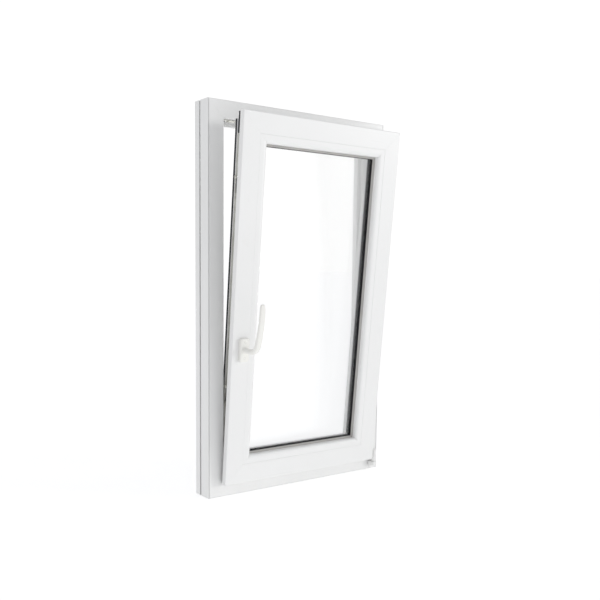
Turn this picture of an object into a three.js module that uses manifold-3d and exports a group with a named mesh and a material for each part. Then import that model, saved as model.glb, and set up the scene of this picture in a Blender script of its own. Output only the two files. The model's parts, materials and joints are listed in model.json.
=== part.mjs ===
// Tilt-and-turn casement window: fixed frame, glazed sash, hinges, stay, locking gear and handle.
// Millimetres. +Z up, +X to the right as seen from the room, -Y towards the room, +Y outdoors.
// The origin is in the middle of the sill's underside, half way through the frame's depth.
// Everything is drawn closed, then the sash and the stay are turned about their own axes into tilt.
import * as THREE from 'three';
import { mergeVertices } from 'three/addons/utils/BufferGeometryUtils.js';
import Module from 'manifold-3d';

const wasm = await Module();
wasm.setup();

// ---------------------------------------------------------------- driving dimensions
// In every profile, u is the distance in from the frame's outer edge and y runs through the wall.
const WIDTH = 600;
const HEIGHT = 1050;
const FRONT = -35;
const BACK = 35;
const CLEAR = 0.3;
const SEAM = 0.22;
const WALL = 3;

const FRAME_FACE = 47;
const UPSTAND_TOP = 59;
const UPSTAND_FRONT = 10.7;
const ANCHOR_SLOT = { lip: 1.8, depth: 6.4, from: 7, to: 13, wideFrom: 4, wideTo: 16.5 };
const EDGE_GROOVE = { from: 1.4, to: 3.4, depth: 1.5 };
const FRAME_CHAMBER = { u0: 9, u1: 43, y0: -21, y1: 8 };

const SASH_EDGE = 37;
const SASH_FRONT = FRONT - 24.7;
const SASH_BACK = 7.3;
const LIP_BACK = SASH_FRONT + 17;
const BODY_EDGE = SASH_EDGE + 18.3;
const BEAD_LINE = SASH_EDGE + 52.9;
const SIGHT_LINE = SASH_EDGE + 75.5;
const LEG_FRONT = -11;
const GROOVE = { floor: BODY_EDGE + 8, from: -17, to: -3 };
const GROOVE_MID = (GROOVE.from + GROOVE.to) / 2;
const SEAL_NOTCH = { floor: BODY_EDGE + 4.7, from: -0.4 };
const SASH_CHAMBER = { u0: BODY_EDGE + WALL, u1: BEAD_LINE - WALL, y0: SASH_FRONT + WALL, y1: -20 };

const GLASS_EDGE = 97;
const PANE = 4;
const PANE_IN = -40;
const PANE_OUT = -22;
const BEAD_BACK = PANE_IN - 4.2;
const SPACER_TOP = 118.2;

const TILT_ANGLE = THREE.MathUtils.degToRad(5.3);
const TURN_X = 276;
const PIVOT_Y = -50;
const PIVOT_Z = 43;
const STAY_REACH = 260;
const STAY_SWING = THREE.MathUtils.degToRad(19.45);
const STAY_Z = 998.5;

const HANDLE_X = -229;
const HANDLE_Z = 408.7;
const ROSE = { halfWidth: 13.8, halfHeight: 31.5, thick: 10, screwAt: 21.5 };
const CAM_UPPER_Z = 850;
const CAM_LOWER_Z = 300;
const CAM_TOP_X = -186;
const ROD_TRAVEL = 36;

// ---------------------------------------------------------------- materials
const paint = (color, roughness, metalness) => ({ color, roughness, metalness });
const WHITE_PVC = paint(0xf4f4f2, 0.35, 0);
const GALVANISED = paint(0xa9adb0, 0.45, 0.9);
const HARDWARE = paint(0xb9bcc0, 0.35, 0.9);
const HINGE_WHITE = paint(0xf1f1ee, 0.35, 0);
const DARK_STEEL = paint(0x6f7276, 0.4, 0.9);
const BLACK_RUBBER = paint(0x16171a, 0.85, 0);
const GREY_GASKET = paint(0x9e998f, 0.6, 0);
const CLEAR_GLASS = paint(0xe8f1ef, 0.03, 0);
const BLACK_SPACER = paint(0x0d0d0f, 0.6, 0);
const GREY_PLASTIC = paint(0x8d9094, 0.6, 0);
const IVORY_PLASTIC = paint(0xecebe2, 0.4, 0);

// ---------------------------------------------------------------- geometry helpers
const shapeOf = (outline, hollows = []) => {
  const shape = new THREE.Shape(outline.map(([a, b]) => new THREE.Vector2(a, b)));
  for (const hollow of hollows) {
    shape.holes.push(new THREE.Path(hollow.map(([a, b]) => new THREE.Vector2(a, b))));
  }
  return shape;
};

const rectangle = (a0, b0, a1, b1) => [[a0, b0], [a1, b0], [a1, b1], [a0, b1]];

const roundedRectangle = (halfA, halfB, radius, segments = 4) => {
  const points = [];
  const corners = [[1, 1, 0], [-1, 1, 1], [-1, -1, 2], [1, -1, 3]];
  for (const [a, b, quarter] of corners) {
    for (let i = 0; i <= segments; i += 1) {
      const angle = (quarter + i / segments) * Math.PI / 2;
      points.push([
        a * (halfA - radius) + radius * Math.cos(angle),
        b * (halfB - radius) + radius * Math.sin(angle),
      ]);
    }
  }
  return points;
};

const prism = (shape, depth, extra = {}) => new THREE.ExtrudeGeometry(shape, {
  depth,
  bevelEnabled: false,
  steps: 1,
  ...extra,
});

const AXES = {
  sill: [[0, 0, 1], [0, 1, 0], [-1, 0, 0], [WIDTH / 2, 0, 0]],
  head: [[0, 0, -1], [0, 1, 0], [1, 0, 0], [-WIDTH / 2, 0, HEIGHT]],
  left: [[1, 0, 0], [0, 1, 0], [0, 0, 1], [-WIDTH / 2, 0, 0]],
  right: [[-1, 0, 0], [0, 1, 0], [0, 0, -1], [WIDTH / 2, 0, HEIGHT]],
};

const orient = (geometry, [ex, ey, ez, start]) => {
  const basis = new THREE.Matrix4().makeBasis(
    new THREE.Vector3(...ex),
    new THREE.Vector3(...ey),
    new THREE.Vector3(...ez),
  );
  return geometry.applyMatrix4(basis.setPosition(...start));
};

// A shape in (y, z) pushed along +X, one in (x, z) pushed along -Y, one in (x, y) pushed along +Z.
const alongX = (shape, x0, x1, extra) => orient(
  prism(shape, x1 - x0, extra),
  [[0, 1, 0], [0, 0, 1], [1, 0, 0], [x0, 0, 0]],
);
const towardsRoom = (shape, yBack, yFront, extra) => orient(
  prism(shape, yBack - yFront, extra),
  [[1, 0, 0], [0, 0, 1], [0, -1, 0], [0, yBack, 0]],
);
const upwards = (shape, z0, z1, extra) => prism(shape, z1 - z0, extra).translate(0, 0, z0);

const box = (x0, y0, z0, x1, y1, z1) => new THREE.BoxGeometry(x1 - x0, y1 - y0, z1 - z0)
  .translate((x0 + x1) / 2, (y0 + y1) / 2, (z0 + z1) / 2);

const cylinder = (radius, length, sides) => new THREE.CylinderGeometry(radius, radius, length, sides);
const rodX = (radius, x0, x1, y, z, sides = 24) => cylinder(radius, x1 - x0, sides)
  .rotateZ(Math.PI / 2)
  .translate((x0 + x1) / 2, y, z);
const rodY = (radius, y0, y1, x, z, sides = 24) => cylinder(radius, y1 - y0, sides)
  .translate(x, (y0 + y1) / 2, z);
const rodZ = (radius, z0, z1, x, y, sides = 24) => cylinder(radius, z1 - z0, sides)
  .rotateX(Math.PI / 2)
  .translate(x, y, (z0 + z1) / 2);

const solid = (geometry) => {
  const bare = geometry.clone();
  bare.deleteAttribute('normal');
  bare.deleteAttribute('uv');
  const merged = mergeVertices(bare, 1e-4);
  return new wasm.Manifold(new wasm.Mesh({
    numProp: 3,
    vertProperties: new Float32Array(merged.attributes.position.array),
    triVerts: new Uint32Array(merged.index.array),
  }));
};

const surface = (manifold) => {
  const mesh = manifold.getMesh();
  const geometry = new THREE.BufferGeometry();
  const points = new Float32Array(mesh.vertProperties);
  geometry.setAttribute('position', new THREE.BufferAttribute(points, 3));
  geometry.setIndex(Array.from(mesh.triVerts));
  const faceted = geometry.toNonIndexed();
  faceted.computeVertexNormals();
  return faceted;
};

// The first geometry with the additions joined on and the cuts taken out.
const carve = (base, additions, cuts) => {
  let body = solid(base);
  for (const addition of additions) {
    body = body.add(solid(addition));
  }
  for (const cut of cuts) {
    body = body.subtract(solid(cut));
  }
  return surface(body);
};

// One side of a four-sided frame: its profile pushed along the side, mitred at both corners,
// or cut square at a given distance from the frame's outer corners.
const member = (side, outline, hollows = [], squareCut = 0) => {
  const length = side === 'sill' || side === 'head' ? WIDTH : HEIGHT;
  const geometry = prism(shapeOf(outline, hollows), length);
  const position = geometry.attributes.position;
  for (let i = 0; i < position.count; i += 1) {
    const inset = squareCut > 0 ? squareCut : position.getX(i) + SEAM;
    position.setZ(i, position.getZ(i) < length / 2 ? inset : length - inset);
  }
  geometry.computeVertexNormals();
  return orient(geometry, AXES[side]);
};

// A continuous four-sided strip from u0 to u1 and from y0 to y1.
const ring = (u0, u1, y0, y1) => {
  const at = (u) => rectangle(u - WIDTH / 2, u, WIDTH / 2 - u, HEIGHT - u);
  return towardsRoom(shapeOf(at(u0), [at(u1)]), y1, y0);
};

// A rectangle of the opening at inset u, as a flat plate.
const plate = (u, y0, y1) => box(u - WIDTH / 2, y0, u, WIDTH / 2 - u, y1, HEIGHT - u);

// A steel channel that lines three walls of a chamber, its open side towards +y.
const channel = ({ u0, u1, y0, y1 }, play, gauge) => [
  [u0 + play, y1 - play],
  [u0 + play, y0 + play],
  [u1 - play, y0 + play],
  [u1 - play, y1 - play],
  [u1 - play - gauge, y1 - play],
  [u1 - play - gauge, y0 + play + gauge],
  [u0 + play + gauge, y0 + play + gauge],
  [u0 + play + gauge, y1 - play],
];

// ---------------------------------------------------------------- assembly groups
const assembly = new THREE.Group();
assembly.name = 'casement_window';
const frameGroup = new THREE.Group();
const turnedAbout = (x, y, z, spinX, spinZ) => {
  const outer = new THREE.Group();
  outer.position.set(x, y, z);
  outer.rotation.set(spinX, 0, spinZ);
  const inner = new THREE.Group();
  inner.position.set(-x, -y, -z);
  outer.add(inner);
  assembly.add(outer);
  return inner;
};
const sashGroup = turnedAbout(0, PIVOT_Y, PIVOT_Z, TILT_ANGLE, 0);
const stayGroup = turnedAbout(TURN_X, PIVOT_Y, 0, 0, STAY_SWING);
assembly.add(frameGroup);

const add = (group, name, geometry, look) => {
  const material = new THREE.MeshStandardMaterial({
    color: look.color,
    roughness: look.roughness,
    metalness: look.metalness,
  });
  material.name = `${name}_material`;
  const mesh = new THREE.Mesh(geometry, material);
  mesh.name = name;
  group.add(mesh);
};

// ---------------------------------------------------------------- fixed frame
const frameOutline = [
  [0.6, FRONT],
  [EDGE_GROOVE.from, FRONT],
  [EDGE_GROOVE.from, FRONT + EDGE_GROOVE.depth],
  [EDGE_GROOVE.to, FRONT + EDGE_GROOVE.depth],
  [EDGE_GROOVE.to, FRONT],
  [FRAME_FACE - 1, FRONT],
  [FRAME_FACE, FRONT + 1],
  [FRAME_FACE, UPSTAND_FRONT],
  [UPSTAND_TOP - 1.5, UPSTAND_FRONT],
  [UPSTAND_TOP, UPSTAND_FRONT + 1.5],
  [UPSTAND_TOP, 18],
  [UPSTAND_TOP - 5, BACK],
  [0.8, BACK],
  [0, BACK - 0.8],
  [0, ANCHOR_SLOT.to],
  [ANCHOR_SLOT.lip, ANCHOR_SLOT.to],
  [ANCHOR_SLOT.lip, ANCHOR_SLOT.wideTo],
  [ANCHOR_SLOT.depth, ANCHOR_SLOT.wideTo],
  [ANCHOR_SLOT.depth, ANCHOR_SLOT.wideFrom],
  [ANCHOR_SLOT.lip, ANCHOR_SLOT.wideFrom],
  [ANCHOR_SLOT.lip, ANCHOR_SLOT.from],
  [0, ANCHOR_SLOT.from],
  [0, FRONT + 0.6],
];
const frameHollows = [
  rectangle(WALL, -30, FRAME_FACE - 3.4, -24),
  rectangle(FRAME_CHAMBER.u0, FRAME_CHAMBER.y0, FRAME_CHAMBER.u1, FRAME_CHAMBER.y1),
  rectangle(9.6, 16, UPSTAND_TOP - 8, BACK - 5),
];
const drainX = [-150, 150];
const SIDES = ['sill', 'head', 'left', 'right'];
const FRAME_NAMES = {
  sill: 'frame_sill',
  head: 'frame_head',
  left: 'frame_jamb_left',
  right: 'frame_jamb_right',
};
for (const side of SIDES) {
  let geometry = member(side, frameOutline, frameHollows);
  if (side === 'sill') {
    const slots = [];
    for (const x of drainX) {
      slots.push(box(x - 14, BACK - 8, 18, x + 14, BACK + 1, 23));
      slots.push(box(x - 44, -4, FRAME_FACE - 6, x - 16, 4, FRAME_FACE + 1));
    }
    geometry = carve(geometry, [], slots);
  }
  add(frameGroup, FRAME_NAMES[side], geometry, WHITE_PVC);
  const steel = member(side, channel(FRAME_CHAMBER, 0.6, 1.5), [], 52);
  add(frameGroup, `frame_steel_${side}`, steel, GALVANISED);
}

for (const [name, x] of [['drain_cap_left', drainX[0]], ['drain_cap_right', drainX[1]]]) {
  const cap = towardsRoom(shapeOf(roundedRectangle(21, 7, 4)), BACK + 3.6, BACK + CLEAR);
  const mouth = box(x - 13, BACK + CLEAR - 1, 16, x + 13, BACK + 2.2, 21);
  const outlet = box(x - 13, BACK + 1, 10, x + 13, BACK + 2.2, 18);
  add(frameGroup, name, carve(cap.translate(x, 0, 20.5), [], [mouth, outlet]), WHITE_PVC);
}

// ---------------------------------------------------------------- keeps on the frame
// Each keep is a base plate in the rebate with a hook on the room side of the closed cam.
const REBATE_X = WIDTH / 2 - FRAME_FACE;
const REBATE_Z = HEIGHT - FRAME_FACE;
const KEEP = { gauge: 2, hook: 4.5, from: GROOVE_MID - 14, to: GROOVE_MID + 8, hookTo: GROOVE_MID - 6.5 };
const jambKeep = (z) => {
  const x0 = -REBATE_X + CLEAR;
  const base = box(x0, KEEP.from, z - 26, x0 + KEEP.gauge, KEEP.to, z + 26);
  const hook = box(x0, KEEP.from, z - 9, x0 + KEEP.hook, KEEP.hookTo, z + 9);
  const holes = [-20, 20].map((dz) => rodX(2.2, x0 - 1, x0 + 4, GROOVE_MID, z + dz, 16));
  return carve(base, [hook], holes);
};
add(frameGroup, 'keep_left_upper', jambKeep(CAM_UPPER_Z - ROD_TRAVEL), HARDWARE);
add(frameGroup, 'keep_left_lower', jambKeep(CAM_LOWER_Z - ROD_TRAVEL), HARDWARE);

const headKeep = (x) => {
  const z1 = REBATE_Z - CLEAR;
  const base = box(x - 28, KEEP.from, z1 - KEEP.gauge, x + 24, KEEP.to, z1);
  const hook = box(x - 9, KEEP.from, z1 - KEEP.hook, x + 9, KEEP.hookTo, z1);
  const stop = box(x - 28, KEEP.from, z1 - 3, x - 22, KEEP.to, z1);
  const holes = [-16, 18].map((dx) => rodZ(2.2, z1 - 4, z1 + 1, x + dx, GROOVE_MID, 16));
  return carve(base, [hook, stop], holes);
};
add(frameGroup, 'keep_head', headKeep(CAM_TOP_X - ROD_TRAVEL), HARDWARE);

// The ramp on the sill carries the free corner of the sash as it closes.
const rampFoot = FRAME_FACE + CLEAR;
const ramp = [[-24, rampFoot], [6, rampFoot], [6, 53], [-12, 53], [-24, 49]];
add(frameGroup, 'run_up_block', alongX(shapeOf(ramp), -190, -150), GREY_PLASTIC);

// ---------------------------------------------------------------- hinges
const LUG_RADIUS = 6.5;
const PIN_RADIUS = 3.5;
const BORE_RADIUS = 3.9;
const PLATE_BACK = FRONT - CLEAR;
const PLATE_FRONT = PLATE_BACK - 3;
const lug = (z0, z1) => {
  const eye = rodZ(LUG_RADIUS, z0, z1, TURN_X, PIVOT_Y, 32);
  const web = box(TURN_X - 4, PIVOT_Y, z0, TURN_X + 14, PLATE_BACK - 1, z1);
  return [eye, web];
};

const lowerPlate = box(TURN_X - 6, PLATE_FRONT, 5, TURN_X + 18, PLATE_BACK, 29);
const lowerPin = rodZ(PIN_RADIUS, 18, 54, TURN_X, PIVOT_Y);
const lowerHinge = carve(lowerPlate, [...lug(12, 26), lowerPin], []);
add(frameGroup, 'lower_hinge_bracket', lowerHinge, HINGE_WHITE);

const upperPlate = box(TURN_X + 8, PLATE_FRONT, 964, TURN_X + 19, PLATE_BACK, 1030);
const upperBore = rodZ(BORE_RADIUS, 960, 1040, TURN_X, PIVOT_Y);
const upperHinge = carve(upperPlate, [...lug(968, 980), ...lug(1006, 1018)], [upperBore]);
add(frameGroup, 'upper_hinge_bracket', upperHinge, HINGE_WHITE);
const pinHead = rodZ(5.2, 1018.4, 1021, TURN_X, PIVOT_Y);
const pinShank = rodZ(PIN_RADIUS, 964, 1019, TURN_X, PIVOT_Y);
add(frameGroup, 'upper_hinge_pin', carve(pinHead, [pinShank], []), DARK_STEEL);

// The knuckle turns on the lower pin and carries the trunnion that the sash tilts on.
const knuckleBarrel = rodZ(LUG_RADIUS, 26.4, 64, TURN_X, PIVOT_Y, 32);
const trunnion = rodX(3.4, TURN_X - 23, TURN_X - 5, PIVOT_Y, PIVOT_Z);
const knuckleBore = rodZ(BORE_RADIUS, 20, 58, TURN_X, PIVOT_Y);
const lowerKnuckle = carve(knuckleBarrel, [trunnion], [knuckleBore]);
add(assembly, 'lower_hinge_knuckle', lowerKnuckle, HINGE_WHITE);

// ---------------------------------------------------------------- tilt stay
const stayStart = [252, -38.6];
const stayEnd = [TURN_X - Math.sqrt(STAY_REACH ** 2 - (GROOVE_MID - PIVOT_Y) ** 2), GROOVE_MID];
const stayPlan = [stayStart, [stayStart[0], -25]];
for (let i = 0; i <= 8; i += 1) {
  const angle = Math.PI / 2 + i * Math.PI / 8;
  stayPlan.push([stayEnd[0] + 7 * Math.cos(angle), stayEnd[1] + 7 * Math.sin(angle)]);
}
const stayBar = upwards(shapeOf(stayPlan), STAY_Z, STAY_Z + 3);
const stayCrank = box(250.5, -39.2, STAY_Z - 4, TURN_X, -37, STAY_Z + 4.5);
const stayWeb = box(TURN_X - 4.5, PIVOT_Y, 984, TURN_X + 4.5, -37, 1003);
const stayEye = rodZ(LUG_RADIUS, 980.4, 1005.6, TURN_X, PIVOT_Y, 32);
const stayBore = rodZ(BORE_RADIUS, 975, 1010, TURN_X, PIVOT_Y);
const staySlot = box(120, -25.5, STAY_Z - 1, 190, -21.5, STAY_Z + 4);
const sliderBore = rodZ(3, STAY_Z - 1, STAY_Z + 4, stayEnd[0], stayEnd[1]);
const stayArm = carve(stayBar, [stayCrank, stayWeb, stayEye], [stayBore, staySlot, sliderBore]);
add(stayGroup, 'stay_arm', stayArm, HARDWARE);
const sliderRoller = rodZ(4, 990, STAY_Z - CLEAR, stayEnd[0], stayEnd[1]);
const sliderRivet = rodZ(2.6, STAY_Z - 2, STAY_Z + 3.8, stayEnd[0], stayEnd[1]);
add(stayGroup, 'stay_slider', carve(sliderRoller, [sliderRivet], []), DARK_STEEL);

// ---------------------------------------------------------------- sash profiles
const sashOutline = [
  [SASH_EDGE + 2, SASH_FRONT],
  [BEAD_LINE - 0.5, SASH_FRONT],
  [BEAD_LINE, SASH_FRONT + 0.5],
  [BEAD_LINE, LEG_FRONT],
  [SIGHT_LINE - 2, LEG_FRONT],
  [SIGHT_LINE, LEG_FRONT + 2],
  [SIGHT_LINE, SASH_BACK - 5],
  [SIGHT_LINE - 4, SASH_BACK],
  [SEAL_NOTCH.floor, SASH_BACK],
  [SEAL_NOTCH.floor, SEAL_NOTCH.from],
  [BODY_EDGE, SEAL_NOTCH.from],
  [BODY_EDGE, GROOVE.to],
  [GROOVE.floor, GROOVE.to],
  [GROOVE.floor, GROOVE.from],
  [BODY_EDGE, GROOVE.from],
  [BODY_EDGE, LIP_BACK],
  [SASH_EDGE + 1, LIP_BACK],
  [SASH_EDGE, LIP_BACK - 1],
  [SASH_EDGE, SASH_FRONT + 2],
  [SASH_EDGE + 0.6, SASH_FRONT + 0.6],
];
const sashHollows = [
  rectangle(SASH_EDGE + WALL, SASH_FRONT + 3.3, BODY_EDGE - 0.3, LIP_BACK - WALL),
  rectangle(SASH_CHAMBER.u0, SASH_CHAMBER.y0, SASH_CHAMBER.u1, SASH_CHAMBER.y1),
  rectangle(GROOVE.floor + WALL, GROOVE.from + 0.3, SASH_CHAMBER.u1 - 0.4, SASH_BACK - 3.6),
  rectangle(BEAD_LINE - 0.2, LEG_FRONT + WALL, SIGHT_LINE - 4.3, SASH_BACK - WALL),
];
const trunnionHole = rodX(5.4, 248, 268, PIVOT_Y, PIVOT_Z);
const gearPocket = box(-238, GROOVE.from, HANDLE_Z - 34, -228, GROOVE.to, HANDLE_Z + 34);
const spindleHole = rodY(7, SASH_FRONT - 2, GROOVE.from + 2, HANDLE_X, HANDLE_Z);
const roseHoles = [HANDLE_Z - ROSE.screwAt, HANDLE_Z + ROSE.screwAt]
  .map((z) => rodY(2.6, SASH_FRONT - 2, -22, HANDLE_X, z, 16));
const SASH_NAMES = {
  sill: 'sash_bottom_rail',
  head: 'sash_top_rail',
  left: 'sash_stile_left',
  right: 'sash_stile_right',
};
const sashCuts = {
  sill: [trunnionHole],
  head: [],
  left: [gearPocket, spindleHole, ...roseHoles],
  right: [trunnionHole],
};
for (const side of SIDES) {
  const profile = member(side, sashOutline, sashHollows);
  add(sashGroup, SASH_NAMES[side], carve(profile, [], sashCuts[side]), WHITE_PVC);
  const steel = member(side, channel(SASH_CHAMBER, 0.6, 1.5), [], 96);
  const steelCuts = side === 'left' ? [spindleHole, ...roseHoles] : [];
  add(sashGroup, `sash_steel_${side}`, carve(steel, [], steelCuts), GALVANISED);
}

const bushTube = rodX(5, 251, 264, PIVOT_Y, PIVOT_Z);
const bushFlange = rodX(6.8, 263.4, 264.8, PIVOT_Y, PIVOT_Z);
const bushBore = rodX(BORE_RADIUS, 250, 270, PIVOT_Y, PIVOT_Z);
add(sashGroup, 'tilt_bearing_bush', carve(bushTube, [bushFlange], [bushBore]), HARDWARE);

// ---------------------------------------------------------------- glazing
const beadIn = BEAD_LINE + CLEAR;
const beadFront = SASH_FRONT + 0.4;
const beadOutline = [
  [beadIn + 0.5, beadFront],
  [SIGHT_LINE - 10, beadFront],
  [SIGHT_LINE - 6.2, beadFront + 0.5],
  [SIGHT_LINE - 2.9, beadFront + 2.1],
  [SIGHT_LINE - 0.8, beadFront + 4.4],
  [SIGHT_LINE, beadFront + 7],
  [SIGHT_LINE, BEAD_BACK],
  [beadIn, BEAD_BACK],
  [beadIn, beadFront + 0.5],
];
const beadHollow = rectangle(beadIn + 2.4, beadFront + 3.4, SIGHT_LINE - 5.6, BEAD_BACK - 2.6);
const BEAD_NAMES = { sill: 'bead_bottom', head: 'bead_top', left: 'bead_left', right: 'bead_right' };
for (const side of SIDES) {
  add(sashGroup, BEAD_NAMES[side], member(side, beadOutline, [beadHollow]), WHITE_PVC);
}
add(sashGroup, 'glass_inner', plate(GLASS_EDGE, PANE_IN, PANE_IN + PANE), CLEAR_GLASS);
add(sashGroup, 'glass_outer', plate(GLASS_EDGE, PANE_OUT, PANE_OUT + PANE), CLEAR_GLASS);
const spacer = ring(102, SPACER_TOP, PANE_IN + PANE + CLEAR, PANE_OUT - CLEAR);
add(sashGroup, 'glass_spacer', spacer, BLACK_SPACER);
add(sashGroup, 'gasket_bead', ring(104, SIGHT_LINE + 4.9, BEAD_BACK + CLEAR, PANE_IN - CLEAR), GREY_GASKET);
add(sashGroup, 'gasket_glass_outer', ring(104, SIGHT_LINE + 1.4, PANE_OUT + PANE + CLEAR, LEG_FRONT - CLEAR),
  BLACK_RUBBER);
for (const [name, x] of [['setting_block_left', -120], ['setting_block_right', 120]]) {
  const block = box(x - 40, PANE_IN, BEAD_LINE + CLEAR, x + 40, PANE_OUT + PANE, GLASS_EDGE - CLEAR);
  add(sashGroup, name, block, GREY_PLASTIC);
}

// ---------------------------------------------------------------- weather seals on the sash
// The inner seal is notched where the crank of the stay passes between the lip and the frame.
// Its moulded corner at the top left reaches out to the edge of the lip.
const sealInner = ring(SASH_EDGE + 2.5, SASH_EDGE + 8, LIP_BACK + CLEAR, FRONT - 0.9);
const sealCorner = box(
  SASH_EDGE - 0.3 - WIDTH / 2, LIP_BACK + CLEAR, 956,
  SASH_EDGE + 4 - WIDTH / 2, FRONT - 0.9, HEIGHT - SASH_EDGE - 3,
);
const crankNotch = box(250, LIP_BACK - 1, 990, 264, FRONT, HEIGHT - SASH_EDGE - 8.5);
add(sashGroup, 'sash_seal_inner', carve(sealInner, [sealCorner], [crankNotch]), BLACK_RUBBER);
add(sashGroup, 'sash_seal_outer', ring(BODY_EDGE - 0.5, SEAL_NOTCH.floor - CLEAR, SEAL_NOTCH.from + CLEAR,
  UPSTAND_FRONT - 0.5), BLACK_RUBBER);

// ---------------------------------------------------------------- locking gear in the sash groove
// Depths in from the sash body's edge: cover strip, then drive rod, then gearbox.
const STRIP = {
  top: BODY_EDGE + 0.1,
  bottom: BODY_EDGE + 1.7,
  from: GROOVE.from + CLEAR,
  to: GROOVE.to - CLEAR,
};
const ROD = { top: BODY_EDGE + 2.1, bottom: BODY_EDGE + 5.1, half: 4.5 };
const stripSlotZ = (z0, z1, halfWidth) => box(
  STRIP.top - 1 - WIDTH / 2, GROOVE_MID - halfWidth, z0,
  STRIP.bottom + 1 - WIDTH / 2, GROOVE_MID + halfWidth, z1,
);
const stripLeft = box(STRIP.top - WIDTH / 2, STRIP.from, 88, STRIP.bottom - WIDTH / 2, STRIP.to, 962);
const camSlots = [CAM_UPPER_Z, CAM_LOWER_Z].map((z) => stripSlotZ(z - ROD_TRAVEL - 4, z + 4, 3.6));
add(sashGroup, 'cover_strip_left', carve(stripLeft, [], camSlots), HARDWARE);

const stripTopZ = (u) => HEIGHT - u;
const stripSlotX = (x0, x1, halfWidth) => box(
  x0, GROOVE_MID - halfWidth, stripTopZ(STRIP.bottom) - 1,
  x1, GROOVE_MID + halfWidth, stripTopZ(STRIP.top) + 1,
);
const stripTop = box(-206, STRIP.from, stripTopZ(STRIP.bottom), 216, STRIP.to, stripTopZ(STRIP.top));
const topCamSlot = stripSlotX(CAM_TOP_X - 60, CAM_TOP_X + 4, 3.6);
const sliderSlot = stripSlotX(6, 32, 5);
add(sashGroup, 'cover_strip_top', carve(stripTop, [], [topCamSlot, sliderSlot]), HARDWARE);

// The corner drive is a bent plate that carries the movement round the top left corner.
const cornerX = BODY_EDGE - WIDTH / 2;
const cornerZ = HEIGHT - BODY_EDGE;
const cornerUpright = box(cornerX + 0.1, STRIP.from, 963, cornerX + 1.7, STRIP.to, cornerZ - 0.1);
const cornerFlat = box(cornerX + 0.1, STRIP.from, cornerZ - 1.7, -233, STRIP.to, cornerZ - 0.1);
add(sashGroup, 'corner_drive', carve(cornerUpright, [cornerFlat], []), DARK_STEEL);

const gearCase = box(-239.2, GROOVE.from + 0.5, HANDLE_Z - 33, -214.6, GROOVE.to - 0.5, HANDLE_Z + 33);
const gearHub = rodY(5.6, GROOVE.from - 2, GROOVE.to + 2, HANDLE_X, HANDLE_Z);
add(sashGroup, 'gearbox', carve(gearCase, [], [gearHub]), GALVANISED);

const rodLeftSolid = box(
  ROD.top - WIDTH / 2, GROOVE_MID - ROD.half, CAM_LOWER_Z - 20,
  ROD.bottom - WIDTH / 2, GROOVE_MID + ROD.half, CAM_UPPER_Z + 20,
);
add(sashGroup, 'drive_rod_left', rodLeftSolid, GALVANISED);
const rodTopSolid = box(
  CAM_TOP_X - 6, GROOVE_MID - ROD.half, stripTopZ(ROD.bottom),
  CAM_TOP_X + 110, GROOVE_MID + ROD.half, stripTopZ(ROD.top),
);
add(sashGroup, 'drive_rod_top', rodTopSolid, GALVANISED);

// A mushroom cam: a stem through the cover strip's slot and a wide head in the air space.
const camProfile = [[0, 0], [2.8, 0], [2.8, 2.2], [5, 2.6], [5, 6.4], [4.2, 7.1], [0, 7.1]]
  .map(([r, h]) => new THREE.Vector2(r, h));
const cam = () => new THREE.LatheGeometry(camProfile, 20);
const camFoot = ROD.top - CLEAR;
for (const [name, z] of [['cam_left_upper', CAM_UPPER_Z], ['cam_left_lower', CAM_LOWER_Z]]) {
  const sideCam = cam().rotateZ(Math.PI / 2).translate(camFoot - WIDTH / 2, GROOVE_MID, z);
  add(sashGroup, name, sideCam, DARK_STEEL);
}
const topCam = cam().rotateX(Math.PI / 2).translate(CAM_TOP_X, GROOVE_MID, stripTopZ(camFoot));
add(sashGroup, 'cam_top', topCam, DARK_STEEL);

// ---------------------------------------------------------------- handle
const roseBack = SASH_FRONT - CLEAR;
const roseFront = roseBack - ROSE.thick;
const roseShape = shapeOf(roundedRectangle(ROSE.halfWidth - 2, ROSE.halfHeight - 2, 5));
const roseBody = towardsRoom(roseShape, roseBack, roseFront + 2.5, {
  bevelEnabled: true,
  bevelThickness: 2.5,
  bevelSize: 2,
  bevelSegments: 3,
}).translate(HANDLE_X, 0, HANDLE_Z);
const roseTrim = box(HANDLE_X - 30, roseBack, HANDLE_Z - 50, HANDLE_X + 30, roseBack + 10, HANDLE_Z + 50);
const roseCollar = rodY(9.6, roseFront - 1.5, roseFront + 2, HANDLE_X, HANDLE_Z, 32);
const roseBore = rodY(6.2, roseFront - 5, roseBack + 5, HANDLE_X, HANDLE_Z);
const screwSeats = [];
for (const z of [HANDLE_Z - ROSE.screwAt, HANDLE_Z + ROSE.screwAt]) {
  screwSeats.push(rodY(2.6, roseFront - 5, roseBack + 5, HANDLE_X, z, 16));
  screwSeats.push(rodY(4.4, roseFront - 1, roseFront + 3, HANDLE_X, z));
}
const rose = carve(roseBody, [roseCollar], [roseTrim, roseBore, ...screwSeats]);
add(sashGroup, 'handle_rose', rose, IVORY_PLASTIC);

const roseScrew = (z) => {
  const head = rodY(4, roseFront + 0.6, roseFront + 2.7, HANDLE_X, z);
  const shank = rodY(2.1, roseFront + 2, -50, HANDLE_X, z, 16);
  const recess = (halfX, halfZ) => box(
    HANDLE_X - halfX, roseFront, z - halfZ,
    HANDLE_X + halfX, roseFront + 1.6, z + halfZ,
  );
  return carve(head, [shank], [recess(2.4, 0.5), recess(0.5, 2.4)]);
};
add(sashGroup, 'rose_screw_upper', roseScrew(HANDLE_Z + ROSE.screwAt), HARDWARE);
add(sashGroup, 'rose_screw_lower', roseScrew(HANDLE_Z - ROSE.screwAt), HARDWARE);

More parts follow.
